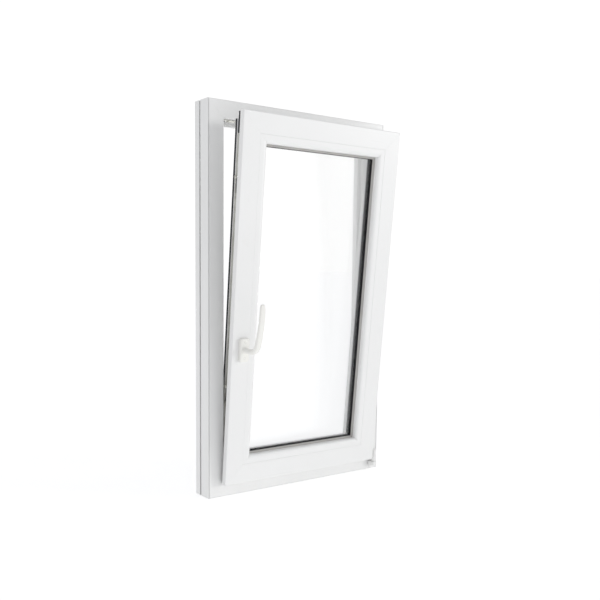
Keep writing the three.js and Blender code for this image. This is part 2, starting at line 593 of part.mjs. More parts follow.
// The lever's side outline follows its centre line, with half the local thickness on each side.
const leverLine = [
  [roseFront - 1.9, 0, 7.6],
  [-101, 0, 7.6],
  [-113, 2.5, 7.4],
  [-122.5, 9.5, 6.9],
  [-128.5, 20, 6.2],
  [-132.5, 34, 5.6],
  [-136, 52, 5.1],
  [-139, 72, 4.8],
  [-140.8, 92, 4.6],
  [-141.6, 110, 4.4],
  [-141.3, 122, 4.1],
  [-140.2, 129, 3],
];
const leverCurve = new THREE.CatmullRomCurve3(leverLine.map(([y, z]) => new THREE.Vector3(y, z, 0)));
const halfThickness = (t) => {
  const place = t * (leverLine.length - 1);
  const low = Math.min(Math.floor(place), leverLine.length - 2);
  return THREE.MathUtils.lerp(leverLine[low][2], leverLine[low + 1][2], place - low);
};
const LEVER_BEVEL = 2.6;
const LEVER_STEPS = 30;
const leverSides = [[], []];
for (let i = 0; i <= LEVER_STEPS; i += 1) {
  const t = i / LEVER_STEPS;
  const point = leverCurve.getPoint(t);
  const tangent = leverCurve.getTangent(t);
  const half = halfThickness(t) - LEVER_BEVEL;
  leverSides[0].push([point.x - tangent.y * half, point.y + tangent.x * half]);
  leverSides[1].push([point.x + tangent.y * half, point.y - tangent.x * half]);
}
const leverShape = shapeOf([...leverSides[0], ...leverSides[1].reverse()]);
const leverWidth = 15.5;
const leverHalf = leverWidth / 2 - LEVER_BEVEL;
const leverBody = alongX(leverShape, HANDLE_X - leverHalf, HANDLE_X + leverHalf, {
  bevelEnabled: true,
  bevelThickness: LEVER_BEVEL,
  bevelSize: LEVER_BEVEL,
  bevelSegments: 3,
}).translate(0, 0, HANDLE_Z);
const leverTrim = box(
  HANDLE_X - 30, roseFront - 1.8, HANDLE_Z - 30,
  HANDLE_X + 30, roseFront + 20, HANDLE_Z + 30,
);
const leverSocket = box(HANDLE_X - 3.8, -93, HANDLE_Z - 3.8, HANDLE_X + 3.8, -61, HANDLE_Z + 3.8);
add(sashGroup, 'handle_lever', carve(leverBody, [], [leverTrim, leverSocket]), IVORY_PLASTIC);
const spindle = box(HANDLE_X - 3.5, -91, HANDLE_Z - 3.5, HANDLE_X + 3.5, GROOVE.to - 1, HANDLE_Z + 3.5);
add(sashGroup, 'handle_spindle', spindle, GALVANISED);

export default assembly;
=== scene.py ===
"""Looks of the tilt-and-turn window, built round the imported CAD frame.

Profiles are drawn with the window closed, in millimetres: u is the distance in from the frame's
outer edge and y runs through the wall. Each piece is then turned with its body into the rest pose.
"""
import json
import math

import bmesh
import bpy
from mathutils import Matrix, Vector

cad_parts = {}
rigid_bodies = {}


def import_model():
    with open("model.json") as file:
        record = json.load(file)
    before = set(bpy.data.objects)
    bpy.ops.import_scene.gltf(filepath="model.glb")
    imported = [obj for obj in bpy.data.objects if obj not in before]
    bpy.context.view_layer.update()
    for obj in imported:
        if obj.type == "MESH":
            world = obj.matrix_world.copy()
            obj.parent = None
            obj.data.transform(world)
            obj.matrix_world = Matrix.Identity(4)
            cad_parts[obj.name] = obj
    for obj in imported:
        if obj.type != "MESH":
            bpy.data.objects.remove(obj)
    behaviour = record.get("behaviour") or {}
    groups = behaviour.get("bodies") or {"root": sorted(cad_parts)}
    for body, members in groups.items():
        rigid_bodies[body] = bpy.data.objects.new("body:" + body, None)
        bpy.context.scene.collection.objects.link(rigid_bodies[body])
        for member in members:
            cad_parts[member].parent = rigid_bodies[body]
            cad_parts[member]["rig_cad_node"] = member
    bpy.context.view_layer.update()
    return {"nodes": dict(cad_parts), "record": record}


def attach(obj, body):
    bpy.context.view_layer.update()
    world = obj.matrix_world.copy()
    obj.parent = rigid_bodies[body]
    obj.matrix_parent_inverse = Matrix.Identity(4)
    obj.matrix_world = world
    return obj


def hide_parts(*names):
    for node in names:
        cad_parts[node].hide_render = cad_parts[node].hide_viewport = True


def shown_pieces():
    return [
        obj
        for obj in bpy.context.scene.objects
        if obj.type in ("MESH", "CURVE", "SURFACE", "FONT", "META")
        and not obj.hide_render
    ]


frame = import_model()

# ---------------------------------------------------------------- shared dimensions
MM = 0.001
TINY = 1e-6
JOINTS = {j["name"]: j for j in frame["record"]["behaviour"]["joints"]}
WIDTH, HEIGHT = 600.0, 1050.0
FRONT, BACK = -35.0, 35.0
FRAME_FACE, UPSTAND_TOP, UPSTAND_FRONT = 47.0, 59.0, 10.7
SASH_EDGE, SASH_FRONT, SASH_BACK = 37.0, -59.7, 7.3
LIP_BACK, BODY_EDGE = -42.7, 55.3
BEAD_LINE, SIGHT_LINE, LEG_FRONT = 89.9, 112.5, -11.0
PANE_IN, PANE_OUT, PANE = -40.0, -22.0, 4.0
GLASS_EDGE, SPACER_TOP = 97.0, 118.2
BEAD_BACK = PANE_IN - 4.2
GROOVE_FLOOR, GROOVE_FROM, GROOVE_TO, GROOVE_MID = 63.3, -17.0, -3.0, -10.0
SEAL_NOTCH, SEAL_FROM = 60.0, -0.4
HANDLE_X, HANDLE_Z = -229.0, 408.7
TURN_X, PIVOT_Y, PIVOT_Z = 276.0, -50.0, 43.0
SIDES = ("sill", "head", "left", "right")


def about(joint, angle_deg):
    """A turn about a joint's axis."""
    place = Vector(JOINTS[joint]["pos_m"])
    axis = Vector(JOINTS[joint]["axis"])
    turn = Matrix.Rotation(math.radians(angle_deg), 4, axis)
    return Matrix.Translation(place) @ turn @ Matrix.Translation(-place)


FIXED = Matrix.Identity(4)
TILTED = about("tilt", -JOINTS["tilt"]["range_deg"][0])


# ---------------------------------------------------------------- materials
class Nodes:
    """A node tree with short calls."""

    def __init__(self, name):
        self.material = bpy.data.materials.new(name)
        self.material.use_nodes = True
        self.tree = self.material.node_tree
        self.tree.nodes.clear()
        self.out = self.add("ShaderNodeOutputMaterial")
        self.shader = self.add("ShaderNodeBsdfPrincipled")
        self.link(self.shader.outputs[0], self.out.inputs[0])
        self.coords = self.add("ShaderNodeTexCoord").outputs["Object"]

    def add(self, kind, **settings):
        node = self.tree.nodes.new(kind)
        for key, value in settings.items():
            setattr(node, key, value)
        return node

    def link(self, a, b):
        self.tree.links.new(a, b)

    def set(self, **values):
        for key, value in values.items():
            self.shader.inputs[key.replace("_", " ")].default_value = value

    def stretched(self, scale):
        mapping = self.add("ShaderNodeMapping")
        mapping.inputs["Scale"].default_value = scale
        self.link(self.coords, mapping.inputs[0])
        return mapping.outputs[0]

    def noise(self, scale, detail=3.0, rough=0.5, stretch=None):
        node = self.add("ShaderNodeTexNoise")
        node.inputs["Scale"].default_value = scale
        node.inputs["Detail"].default_value = detail
        node.inputs["Roughness"].default_value = rough
        self.link(self.stretched(stretch) if stretch else self.coords, node.inputs["Vector"])
        return node.outputs["Fac"]

    def ramp(self, fac, stops):
        node = self.add("ShaderNodeValToRGB")
        while len(node.color_ramp.elements) < len(stops):
            node.color_ramp.elements.new(0.5)
        for element, (place, colour) in zip(node.color_ramp.elements, stops):
            element.position = place
            element.color = (*colour, 1.0)
        self.link(fac, node.inputs[0])
        return node.outputs[0]

    def span(self, fac, low, high, start=0.3, end=0.7):
        node = self.add("ShaderNodeMapRange")
        node.inputs["From Min"].default_value = start
        node.inputs["From Max"].default_value = end
        node.inputs["To Min"].default_value = low
        node.inputs["To Max"].default_value = high
        self.link(fac, node.inputs[0])
        return node.outputs[0]

    def mix(self, fac, a, b):
        node = self.add("ShaderNodeMix", data_type="RGBA", blend_type="MIX")
        if isinstance(fac, float):
            node.inputs[0].default_value = fac
        else:
            self.link(fac, node.inputs[0])
        for value, socket in ((a, node.inputs[6]), (b, node.inputs[7])):
            if isinstance(value, tuple):
                socket.default_value = (*value, 1.0)
            else:
                self.link(value, socket)
        return node.outputs[2]

    def bump(self, *layers):
        """Layers of (height, strength, distance in mm), laid over each other."""
        normal = None
        for height, strength, distance in layers:
            node = self.add("ShaderNodeBump")
            node.inputs["Strength"].default_value = strength
            node.inputs["Distance"].default_value = distance * MM
            self.link(height, node.inputs["Height"])
            if normal is not None:
                self.link(normal, node.inputs["Normal"])
            normal = node.outputs[0]
        self.link(normal, self.shader.inputs["Normal"])


def pvc(name, along, white=(0.865, 0.868, 0.862)):
    """Satin extruded plastic, with faint die lines along the profile and a little grime."""
    n = Nodes(name)
    stretch = {"x": (0.6, 90, 90), "z": (90, 90, 0.6)}[along]
    cloud = n.noise(6.0, 4.0)
    lines = n.noise(7.0, 2.0, 0.6, stretch)
    grain = n.noise(1400.0, 2.0)
    grime = n.noise(28.0, 6.0, 0.65)
    shade = tuple(c * 0.978 for c in white)
    base = n.mix(n.span(cloud, 0.0, 1.0), white, shade)
    dull = n.mix(n.span(grime, 0.0, 0.35, 0.62, 0.8), base, (0.79, 0.785, 0.765))
    n.link(dull, n.shader.inputs["Base Color"])
    n.link(n.span(lines, 0.27, 0.38), n.shader.inputs["Roughness"])
    n.set(IOR=1.53, Specular_IOR_Level=0.45, Coat_Weight=0.06, Coat_Roughness=0.12)
    n.bump((lines, 0.10, 0.05), (grain, 0.06, 0.02))
    return n.material


def lacquer(name, base, warm):
    n = Nodes(name)
    cloud = n.noise(18.0, 3.0)
    peel = n.noise(420.0, 1.0)
    rub = n.noise(90.0, 5.0, 0.6)
    colour = n.mix(n.span(cloud, 0.0, 1.0), base, warm)
    n.link(n.mix(n.span(rub, 0.0, 0.3, 0.6, 0.85), colour, tuple(c * 0.93 for c in base)),
           n.shader.inputs["Base Color"])
    n.link(n.span(rub, 0.26, 0.40), n.shader.inputs["Roughness"])
    n.set(IOR=1.5, Coat_Weight=0.25, Coat_Roughness=0.10)
    n.bump((peel, 0.12, 0.03))
    return n.material


def metal(name, light, dark, rough, stretch=None, spangle=False):
    """Plated or galvanised steel: drawn lines or zinc flowers, with dulled patches."""
    n = Nodes(name)
    patch = n.noise(34.0, 5.0, 0.6)
    lines = n.noise(60.0, 3.0, 0.6, stretch or (1, 1, 22))
    if spangle:
        flowers = n.add("ShaderNodeTexVoronoi", feature="SMOOTH_F1")
        flowers.inputs["Scale"].default_value = 160.0
        n.link(n.coords, flowers.inputs["Vector"])
        tone = n.mix(0.5, n.ramp(flowers.outputs["Distance"], [(0.1, light), (0.7, dark)]),
                     n.ramp(patch, [(0.3, dark), (0.7, light)]))
    else:
        tone = n.ramp(patch, [(0.28, dark), (0.55, light), (0.8, tuple(c * 0.92 for c in light))])
    n.link(tone, n.shader.inputs["Base Color"])
    n.set(Metallic=1.0)
    n.link(n.span(lines, rough - 0.07, rough + 0.12), n.shader.inputs["Roughness"])
    n.bump((lines, 0.12, 0.03), (patch, 0.05, 0.05))
    return n.material


def rubber(name, base=(0.016, 0.017, 0.021)):
    n = Nodes(name)
    fine = n.noise(900.0, 3.0)
    bloom = n.noise(60.0, 4.0)
    n.link(n.mix(n.span(bloom, 0.0, 0.5, 0.5, 0.9), base, (0.055, 0.056, 0.062)),
           n.shader.inputs["Base Color"])
    n.link(n.span(bloom, 0.52, 0.78), n.shader.inputs["Roughness"])
    n.set(Specular_IOR_Level=0.4, Sheen_Weight=0.15, Sheen_Roughness=0.5)
    n.bump((fine, 0.25, 0.05))
    return n.material


def matte(name, base, other, scale=300.0, rough=(0.5, 0.7), specular=0.5):
    n = Nodes(name)
    fine = n.noise(scale, 3.0)
    cloud = n.noise(30.0, 3.0)
    n.link(n.mix(n.span(cloud, 0.0, 1.0), base, other), n.shader.inputs["Base Color"])
    n.link(n.span(fine, *rough), n.shader.inputs["Roughness"])
    n.set(Specular_IOR_Level=specular)
    n.bump((fine, 0.18, 0.05))
    return n.material


def glass(name):
    n = Nodes(name)
    film = n.noise(14.0, 4.0)
    n.link(n.mix(n.span(film, 0.0, 1.0), (0.985, 0.995, 0.99), (0.97, 0.985, 0.98)),
           n.shader.inputs["Base Color"])
    n.link(n.span(film, 0.0, 0.004, 0.5, 0.9), n.shader.inputs["Roughness"])
    n.set(Transmission_Weight=1.0, IOR=1.46, Alpha=0.1)
    n.bump((film, 0.01, 0.01))
    return n.material


PVC = {"x": pvc("upvc_along_x", "x"), "z": pvc("upvc_along_z", "z")}
IVORY = lacquer("handle_ivory", (0.875, 0.872, 0.84), (0.86, 0.855, 0.815))
HINGE_WHITE = lacquer("hinge_white", (0.84, 0.84, 0.83), (0.82, 0.82, 0.81))
ZINC = metal("galvanised", (0.62, 0.63, 0.64), (0.46, 0.47, 0.49), 0.42, spangle=True)
PLATED = metal("plated", (0.70, 0.695, 0.65), (0.54, 0.53, 0.48), 0.36)
PLATED_PALE = metal("plated_pale", (0.82, 0.818, 0.79), (0.76, 0.755, 0.72), 0.42)
PLATED_X = metal("plated_along_x", (0.70, 0.695, 0.65), (0.54, 0.53, 0.48), 0.36, (22, 1, 1))
DARK = metal("dark_steel", (0.33, 0.34, 0.36), (0.20, 0.21, 0.22), 0.34)
RUBBER = rubber("epdm")
GREY_GASKET = matte("grey_gasket", (0.47, 0.46, 0.44), (0.41, 0.40, 0.385), 600.0, (0.45, 0.65))
SPACER = matte("spacer_black", (0.006, 0.006, 0.007), (0.012, 0.012, 0.014), 500.0, specular=0.1)
GREY = matte("grey_plastic", (0.27, 0.28, 0.29), (0.33, 0.34, 0.35))
GLASS = glass("float_glass")


# ---------------------------------------------------------------- mesh helpers
def fillet(corners, segments=4):
    """A closed outline from (a, b, radius) corners."""
    points = []
    count = len(corners)
    for i, (a, b, *rest) in enumerate(corners):
        radius = rest[0] if rest else 0.0
        here = Vector((a, b))
        if radius <= 0:
            points.append(here)
            continue
        before = Vector(corners[i - 1][:2]) - here
        after = Vector(corners[(i + 1) % count][:2]) - here
        corner_angle = before.angle(after)
        reach = radius / math.tan(corner_angle / 2)
        reach = min(reach, before.length * 0.49, after.length * 0.49)
        radius = reach * math.tan(corner_angle / 2)
        start = here + before.normalized() * reach
        end = here + after.normalized() * reach
        middle = (before.normalized() + after.normalized()).normalized()
        centre = here + middle * (radius / math.sin(corner_angle / 2))
        first = start - centre
        last = end - centre
        sweep = first.angle_signed(last)
        for k in range(segments + 1):
            turn = Matrix.Rotation(-sweep * k / segments, 2)
            points.append(centre + turn @ first)
    return points


def inset(points, amount):
    """The outline moved inwards, whichever way round it runs."""
    area = sum(p.x * q.y - q.x * p.y for p, q in zip(points, points[1:] + points[:1])) / 2
    sign = 1.0 if area > 0 else -1.0
    moved = []
    for i, here in enumerate(points):
        a = here - points[i - 1]
        b = points[(i + 1) % len(points)] - here
        if min(a.length, b.length) < TINY * MM:
            moved.append(here.copy())
            continue
        na = Vector((-a.y, a.x)).normalized() * sign
        nb = Vector((-b.y, b.x)).normalized() * sign
        middle = na + nb
        if middle.length < TINY:
            moved.append(here + na * amount)
            continue
        middle.normalize()
        moved.append(here + middle * min(amount / max(middle.dot(na), 0.4), amount * 2))
    return moved


def build(name, rings, material, body, closed=False, place=FIXED, stands_for=(), sharp=32):
    """A solid skinned over rings of points (mm): capped at both ends, or joined end to end."""
    size = len(rings[0])
    verts = [place @ (Vector(p) * MM) for ring in rings for p in ring]
    faces = []
    last = len(rings) if closed else len(rings) - 1
    for r in range(last):
        a, b = r * size, ((r + 1) % len(rings)) * size
        for i in range(size):
            j = (i + 1) % size
            faces.append((a + i, a + j, b + j, b + i))
    if not closed:
        faces.append(tuple(reversed(range(size))))
        faces.append(tuple(range((len(rings) - 1) * size, len(rings) * size)))
    return finish_mesh(name, verts, faces, material, body, stands_for, sharp)


def finish_mesh(name, verts, faces, material, body, stands_for, sharp):
    """Makes a piece that is smooth but for edges sharper than the given angle in degrees."""
    mesh = bpy.data.meshes.new(name)
    mesh.from_pydata([tuple(v) for v in verts], [], faces)
    work = bmesh.new()
    work.from_mesh(mesh)
    bmesh.ops.remove_doubles(work, verts=work.verts, dist=TINY)
    bmesh.ops.recalc_face_normals(work, faces=work.faces)
    limit = math.radians(sharp)
    for face in work.faces:
        face.smooth = True
    for edge in work.edges:
        edge.smooth = len(edge.link_faces) == 2 and edge.calc_face_angle(0.0) < limit
    work.to_mesh(mesh)
    work.free()
    mesh.materials.append(material)
    piece = bpy.data.objects.new(name, mesh)
    bpy.context.scene.collection.objects.link(piece)
    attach(piece, body)
    if stands_for:
        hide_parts(*stands_for)
    return piece


AXES = {
    "sill": (Vector((0, 0, 1)), Vector((-1, 0, 0)), Vector((WIDTH / 2, 0, 0))),
    "head": (Vector((0, 0, -1)), Vector((1, 0, 0)), Vector((-WIDTH / 2, 0, HEIGHT))),
    "left": (Vector((1, 0, 0)), Vector((0, 0, 1)), Vector((-WIDTH / 2, 0, 0))),
    "right": (Vector((-1, 0, 0)), Vector((0, 0, -1)), Vector((WIDTH / 2, 0, HEIGHT))),
}
SEAM = 0.04
WELD_WIDTH = 0.55


def member(name, side, outline, body, place, stands_for, groove=0.22):
    """A mitred profile; its ends draw in a little, which leaves the fine weld groove."""
    inwards, along, start = AXES[side]
    length = WIDTH if side in ("sill", "head") else HEIGHT
    small = inset(outline, groove)
    rings = []
    for far_end, points, offset in ((False, small, SEAM), (False, outline, WELD_WIDTH),
                                    (True, outline, WELD_WIDTH), (True, small, SEAM)):
        ring = []
        for p, full in zip(points, outline):
            t = full.x + offset
            t = length - t if far_end else t
            ring.append(start + inwards * p.x + Vector((0, p.y, 0)) + along * t)
        rings.append(ring)
    material = PVC["x" if side in ("sill", "head") else "z"]
    return build(name, rings, material, body, place=place, stands_for=stands_for)


def strip(name, outline, material, body, place, stands_for):
    """A profile run round all four corners as one closed loop."""
    rings = []
    for sx, top in ((-1, False), (1, False), (1, True), (-1, True)):
        rings.append([
            Vector((sx * (WIDTH / 2 - p.x), p.y, HEIGHT - p.x if top else p.x)) for p in outline
        ])
    return build(name, rings, material, body, closed=True, place=place,
                 stands_for=stands_for)


def frame_of(axis):
    """The axis and two directions square to it."""
    axis = Vector(axis).normalized()
    side = Vector((0, 0, 1)) if abs(axis.z) < 0.9 else Vector((0, 1, 0))
    first = side.cross(axis).normalized()
    return axis, first, axis.cross(first)


def circle(centre, ea, eb, radius, count, lobes=0.0):
    """Points round a centre, with six lobes of the given share of the radius."""
    points = []
    for k in range(count):
        angle = 2 * math.pi * k / count
        reach = radius * (1 + lobes * math.cos(6 * angle))
        points.append(centre + (ea * math.cos(angle) + eb * math.sin(angle)) * reach)
    return points


def slab(name, outline, axes, low, high, edge, material, body, place=FIXED, stands_for=(),
         steps=3):
    """A plate with rounded rims: an outline in the plane of the first two axes, run along the
    third one from low to high."""
    ea, eb, ec = (Vector(v) for v in axes)
    rim = [(edge * (1 - math.sin(math.pi / 2 * k / steps)),
            edge * (1 - math.cos(math.pi / 2 * k / steps))) for k in range(steps + 1)]
    levels = [(low + depth, drawn_in) for depth, drawn_in in reversed(rim)]
    levels += [(high - depth, drawn_in) for depth, drawn_in in rim]
    rings = []
    for level, drawn_in in levels:
        points = inset(outline, drawn_in) if drawn_in > TINY else outline
        rings.append([ea * p.x + eb * p.y + ec * level for p in points])
    return build(name, rings, material, body, place=place, stands_for=stands_for)


def turned(name, profile, origin, axis, material, body, place=FIXED, stands_for=(),
           sides=40):
    """A turned piece: (radius, height) steps along an axis."""
    axis, ea, eb = frame_of(axis)
    rings = [circle(Vector(origin) + axis * height, ea, eb, radius, sides)
             for radius, height in profile]
    return build(name, rings, material, body, place=place, stands_for=stands_for)


def screw(name, origin, axis, radius, material, body, place=FIXED, stands_for=()):
    """A countersunk screw head with a six-lobed recess; origin is in the face, axis points out."""
    axis, ea, eb = frame_of(axis)
    lobe = 0.13
    steps = [
        (radius * 0.45, -radius * 0.7, 0), (radius, -0.1, 0), (radius, 0.12, 0),
        (radius * 0.9, 0.32, 0), (radius * 0.5, 0.42, lobe), (radius * 0.48, 0.36, lobe),
        (radius * 0.44, -radius * 0.35, lobe), (0.05, -radius * 0.42, 0),
    ]
    rings = [circle(Vector(origin) + axis * height, ea, eb, r, 36, lobes)
             for r, height, lobes in steps]
    return build(name, rings, material, body, place=place, stands_for=stands_for)


def cut(piece, boxes, place=FIXED):
    """Takes boxes (low, high in mm) out of a piece."""
    for low, high in boxes:
        low, high = Vector(low), Vector(high)
        corners = [Vector((x, y, z)) for x in (low.x, high.x) for y in (low.y, high.y)
                   for z in (low.z, high.z)]
        verts = [tuple(place @ (c * MM)) for c in corners]
        faces = [(0, 1, 3, 2), (4, 6, 7, 5), (0, 4, 5, 1), (2, 3, 7, 6), (0, 2, 6, 4),
                 (1, 5, 7, 3)]
        mesh = bpy.data.meshes.new("cutter")
        mesh.from_pydata(verts, [], faces)
        cutter = bpy.data.objects.new("cutter", mesh)
        bpy.context.scene.collection.objects.link(cutter)
        modifier = piece.modifiers.new("cut", "BOOLEAN")
        modifier.operation = "DIFFERENCE"
        modifier.solver = "EXACT"
        modifier.object = cutter
        bpy.context.view_layer.update()
        result = bpy.data.meshes.new_from_object(
            piece.evaluated_get(bpy.context.evaluated_depsgraph_get()))
        piece.modifiers.clear()
        piece.data = result
        bpy.data.objects.remove(cutter)


# ---------------------------------------------------------------- fixed frame
SLOT_LIP, SLOT_DEPTH, SLOT_MOUTH, SLOT_INSIDE = 1.8, 9, (5.2, 12.6), (2.5, 16.5)
JAMB_GROOVE, RAIL_GROOVE = 3.0, 0.6


def frame_outline(groove):
    """The fixed frame's profile, with a groove of this depth near the outer edge of its face and
    a T-shaped anchor slot in its outer edge."""
    rib = FRAME_FACE + 0.8
    mouth_from, mouth_to = SLOT_MOUTH
    inside_from, inside_to = SLOT_INSIDE
    return fillet([
        (0, FRONT, 0.5), (1.2, FRONT, 0.2), (1.2, FRONT + groove, 0.1),
        (3.2, FRONT + groove, 0.1), (3.2, FRONT, 0.2), (FRAME_FACE, FRONT, 2.0),
        (FRAME_FACE, -1.0), (rib, -0.6, 0.2), (rib, 0.8, 0.2), (FRAME_FACE, 1.2),
        (FRAME_FACE, UPSTAND_FRONT, 0.8), (UPSTAND_TOP, UPSTAND_FRONT, 1.6),
        (UPSTAND_TOP, 18, 2.0), (UPSTAND_TOP - 5, BACK, 1.5), (0, BACK, 1.0),
        (0, mouth_to, 0.3), (SLOT_LIP, mouth_to, 0.3), (SLOT_LIP, inside_to, 0.2),
        (SLOT_DEPTH, inside_to, 0.3), (SLOT_DEPTH, inside_from, 0.3),
        (SLOT_LIP, inside_from, 0.2), (SLOT_LIP, mouth_from, 0.3), (0, mouth_from, 0.3),
    ], 3)


FRAME_OUTLINES = {"sill": frame_outline(RAIL_GROOVE), "head": frame_outline(RAIL_GROOVE),
                  "left": frame_outline(JAMB_GROOVE), "right": frame_outline(JAMB_GROOVE)}
FRAME_NAMES = {"sill": "frame_sill", "head": "frame_head",
               "left": "frame_jamb_left", "right": "frame_jamb_right"}
DRAIN_X = (-150, 150)
for side in SIDES:
    piece = member(f"skin_{FRAME_NAMES[side]}", side, FRAME_OUTLINES[side], "frame", FIXED,
                   (FRAME_NAMES[side],))
    if side == "sill":
        cut(piece, [((x - 44, -4, FRAME_FACE - 6), (x - 16, 4, FRAME_FACE + 2)) for x in DRAIN_X])

for label, x in zip(("left", "right"), DRAIN_X):
    outline = fillet([(x - 21, 13.5, 5), (x + 21, 13.5, 5), (x + 21, 27.5, 5),
                      (x - 21, 27.5, 5)], 5)
    cap = slab(f"skin_drain_cap_{label}", outline, ((1, 0, 0), (0, 0, 1), (0, 1, 0)),
               BACK + 0.1, BACK + 3.6, 1.2, PVC["x"], "frame",
               stands_for=(f"drain_cap_{label}",))
    cut(cap, [((x - 14, BACK + 0.6, 10), (x + 14, BACK + 2.6, 16))])

# ---------------------------------------------------------------- sash
SASH_OUTLINE = fillet([
    (SASH_EDGE, SASH_FRONT, 2.6), (BEAD_LINE, SASH_FRONT, 0.35), (BEAD_LINE, LEG_FRONT, 0.5),
    (SIGHT_LINE, LEG_FRONT, 1.5), (SIGHT_LINE, SASH_BACK - 5, 1.0),
    (SIGHT_LINE - 4, SASH_BACK, 1.4), (SEAL_NOTCH, SASH_BACK, 0.5),
    (SEAL_NOTCH, SEAL_FROM, 0.3), (BODY_EDGE, SEAL_FROM, 0.4),
    (BODY_EDGE, GROOVE_TO, 0.4), (GROOVE_FLOOR, GROOVE_TO, 0.4), (GROOVE_FLOOR, GROOVE_FROM, 0.4),
    (BODY_EDGE, GROOVE_FROM, 0.4), (BODY_EDGE, LIP_BACK, 0.8), (SASH_EDGE, LIP_BACK, 1.0),
], 4)
SASH_NAMES = {"sill": "sash_bottom_rail", "head": "sash_top_rail",
              "left": "sash_stile_left", "right": "sash_stile_right"}
for side in SIDES:
    member(f"skin_{SASH_NAMES[side]}", side, SASH_OUTLINE, "sash", TILTED, (SASH_NAMES[side],))

BEAD_IN, BEAD_FRONT = BEAD_LINE + 0.14, SASH_FRONT + 0.2
CURVE_WIDE, CURVE_DEEP, CURVE_STEPS = 10.5, 7.5, 10
BEAD_OUTLINE = [Vector((BEAD_IN, BEAD_FRONT + 0.3)), Vector((BEAD_IN + 0.3, BEAD_FRONT))]
for k in range(CURVE_STEPS + 1):
    angle = math.pi / 2 * k / CURVE_STEPS
    BEAD_OUTLINE.append(Vector((SIGHT_LINE - CURVE_WIDE * (1 - math.sin(angle)),
                                BEAD_FRONT + CURVE_DEEP * (1 - math.cos(angle)))))
BEAD_OUTLINE += [Vector(p) for p in ((SIGHT_LINE, BEAD_BACK - 0.5), (SIGHT_LINE - 0.5, BEAD_BACK),
                                     (BEAD_IN + 0.5, BEAD_BACK), (BEAD_IN, BEAD_BACK - 0.5))]
BEAD_NAMES = {"sill": "bead_bottom", "head": "bead_top",
              "left": "bead_left", "right": "bead_right"}
for side in SIDES:
    member(f"skin_{BEAD_NAMES[side]}", side, BEAD_OUTLINE, "sash", TILTED, (BEAD_NAMES[side],),
           0.3)

# ---------------------------------------------------------------- gaskets and seals
strip("skin_gasket_bead", fillet([
    (104, BEAD_BACK + 0.3, 0.5), (SIGHT_LINE + 0.8, BEAD_BACK + 0.3, 0.8),
    (SIGHT_LINE + 5.6, PANE_IN - 1.2, 0.5), (SIGHT_LINE + 5.4, PANE_IN - 0.2, 0.2),
    (104, PANE_IN - 0.2, 0.4)], 3),
    GREY_GASKET, "sash", TILTED, ("gasket_bead",))
strip("skin_gasket_outer", fillet([
    (104, LEG_FRONT - 0.3, 0.4), (SIGHT_LINE - 0.9, LEG_FRONT - 0.3, 0.5),
    (SIGHT_LINE - 0.4, PANE_OUT + PANE + 0.3, 0.3), (104, PANE_OUT + PANE + 0.3, 0.4)], 3),
    RUBBER, "sash", TILTED, ("gasket_glass_outer",))
strip("skin_spacer", fillet([
    (102, PANE_IN + PANE + 0.2, 0.5), (SPACER_TOP, PANE_IN + PANE + 0.2, 0.4),
    (SPACER_TOP, PANE_OUT - 0.2, 0.4), (102, PANE_OUT - 0.2, 0.5)], 3),
    SPACER, "sash", TILTED, ("glass_spacer",))
strip("skin_seal_outer", fillet([
    (BODY_EDGE - 0.6, SEAL_FROM + 0.3, 0.8), (BODY_EDGE - 0.8, 7.0, 1.5),
    (BODY_EDGE + 1.2, 10.2, 1.4), (BODY_EDGE + 3.4, 9.6, 1.0), (SEAL_NOTCH - 0.2, 7.2, 0.4),
    (SEAL_NOTCH - 0.2, SEAL_FROM + 0.3, 0.3),
], 3), RUBBER, "sash", TILTED, ("sash_seal_outer",))
inner_seal = strip("skin_seal_inner", fillet([
    (SASH_EDGE + 2.6, LIP_BACK + 0.1, 0.3), (SASH_EDGE + 3.4, -37.4, 1.0),
    (SASH_EDGE + 5.2, -36.0, 0.9), (SASH_EDGE + 6.6, -37.2, 0.8),
    (SASH_EDGE + 7.8, LIP_BACK + 0.1, 0.3)], 3),
    RUBBER, "sash", TILTED, ("sash_seal_inner",))
cut(inner_seal, [((249, LIP_BACK - 1, 989.5), (265, FRONT, HEIGHT - SASH_EDGE - 8.2))], TILTED)

SEAL_CORNER = fillet([
    (SASH_EDGE - 0.2, LIP_BACK + 1.4, 0.8), (SASH_EDGE + 1.2, LIP_BACK + 0.1, 0.4),
    (SASH_EDGE + 2.5, LIP_BACK + 0.1, 0.2), (SASH_EDGE + 2.5, FRONT - 1.0, 0.6),
    (SASH_EDGE - 0.2, FRONT - 1.0, 0.8)], 3)
build("seal_corner", [
    [Vector((p.x - WIDTH / 2, p.y, z)) for p in inset(SEAL_CORNER, drawn_in)]
    for z, drawn_in in ((956.2, 0.6), (957.0, 0.0), (1008.4, 0.0), (1009.6, 0.6))
], RUBBER, "sash", place=TILTED)

# ---------------------------------------------------------------- glass
GLASS_X, GLASS_TOP = WIDTH / 2 - GLASS_EDGE, HEIGHT - GLASS_EDGE
GLASS_OUTLINE = fillet([(-GLASS_X, GLASS_EDGE, 1.0), (GLASS_X, GLASS_EDGE, 1.0),
                        (GLASS_X, GLASS_TOP, 1.0), (-GLASS_X, GLASS_TOP, 1.0)], 3)
for label, back in (("inner", PANE_IN + PANE), ("outer", PANE_OUT + PANE)):
    slab(f"skin_glass_{label}", GLASS_OUTLINE, ((1, 0, 0), (0, 0, 1), (0, 1, 0)), back - PANE,
         back, 0.5, GLASS, "sash", TILTED, (f"glass_{label}",), 2)

# ---------------------------------------------------------------- handle
HANDLE_AT = Vector((HANDLE_X, 0, HANDLE_Z))
ROSE_BACK, ROSE_FRONT = SASH_FRONT - 0.1, SASH_FRONT - 10.3


